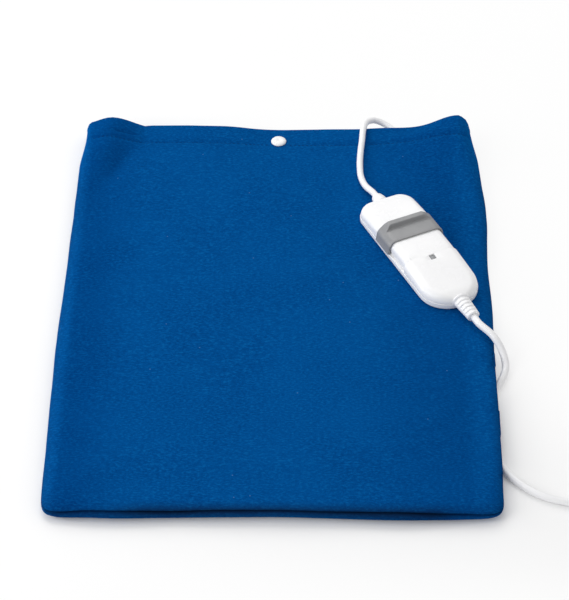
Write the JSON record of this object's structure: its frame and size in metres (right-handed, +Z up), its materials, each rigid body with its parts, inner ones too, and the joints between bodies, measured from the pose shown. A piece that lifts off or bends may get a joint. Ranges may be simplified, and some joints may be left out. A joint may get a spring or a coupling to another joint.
{
  "type": "heating pad with controller",
  "caption": "Flat rectangular heating pad in a fleece cover with a press snap, with a slide controller on its lead and a coiled mains lead ending in a plug.",
  "frame": {"origin": "middle of the cover's underside, in the plane that the pad lies on", "axes": "+X to the right across the cover, +Y along its length towards the mouth with the snap, +Z up"},
  "size_m": [0.4684, 0.4116, 0.0303],
  "materials": {
    "fleece": "deep blue fleece with a short dense pile",
    "felt": "off-white non-woven felt",
    "wire_coat": "thin insulated heating wire",
    "pale_plastic": "pale moulded plastic",
    "white_shell": "glossy white moulded plastic",
    "grey_slider": "satin mid-grey plastic",
    "black_plastic": "black moulded plastic",
    "spring_metal": "bent spring strip",
    "steel": "plated steel",
    "board": "green laminate board",
    "lamp": "small red lamp",
    "lead_jacket": "white flexible lead jacket"
  },
  "bodies": {
    "pad": {"cover_top_panel": "fleece", "cover_bottom_panel": "fleece", "hem_top": "fleece", "hem_bottom": "fleece", "inner_lower_sheet": "felt", "lower_wadding": "felt", "upper_wadding": "felt", "inner_upper_sheet": "felt", "edge_binding": "felt", "heating_wire_1": "wire_coat", "heating_wire_2": "wire_coat", "heating_wire_3": "wire_coat", "thermostat_1": "pale_plastic", "thermostat_2": "pale_plastic", "gland_lower": "pale_plastic", "gland_upper": "pale_plastic", "fuse_link": "pale_plastic", "controller_base": "white_shell", "controller_top": "white_shell", "pad_lead_boot": "white_shell", "mains_lead_boot": "white_shell", "snap_cap": "white_shell", "snap_socket": "white_shell", "snap_stud": "white_shell", "snap_post": "white_shell", "indicator_lens": "grey_slider", "rectifier_diode": "black_plastic", "case_screw_1": "steel", "case_screw_2": "steel", "case_screw_3": "steel", "case_screw_4": "steel", "gland_rivet_1": "steel", "gland_rivet_2": "steel", "plug_pin_1": "steel", "plug_pin_2": "steel", "circuit_board": "board", "indicator_lamp": "lamp", "pad_lead": "lead_jacket", "mains_lead": "lead_jacket", "mains_coil": "lead_jacket", "plug_body": "lead_jacket"},
    "slider": {"slider_saddle": "grey_slider", "contact_carriage": "black_plastic", "wiper_contact_1": "spring_metal", "wiper_contact_2": "spring_metal", "detent_spring": "spring_metal"}
  },
  "joints": [
    {"name": "heat_setting", "type": "slide", "parent": "pad", "child": "slider", "axis": [0.4415, -0.8973, 0], "range_m": [0, 0.02]}
  ]
}
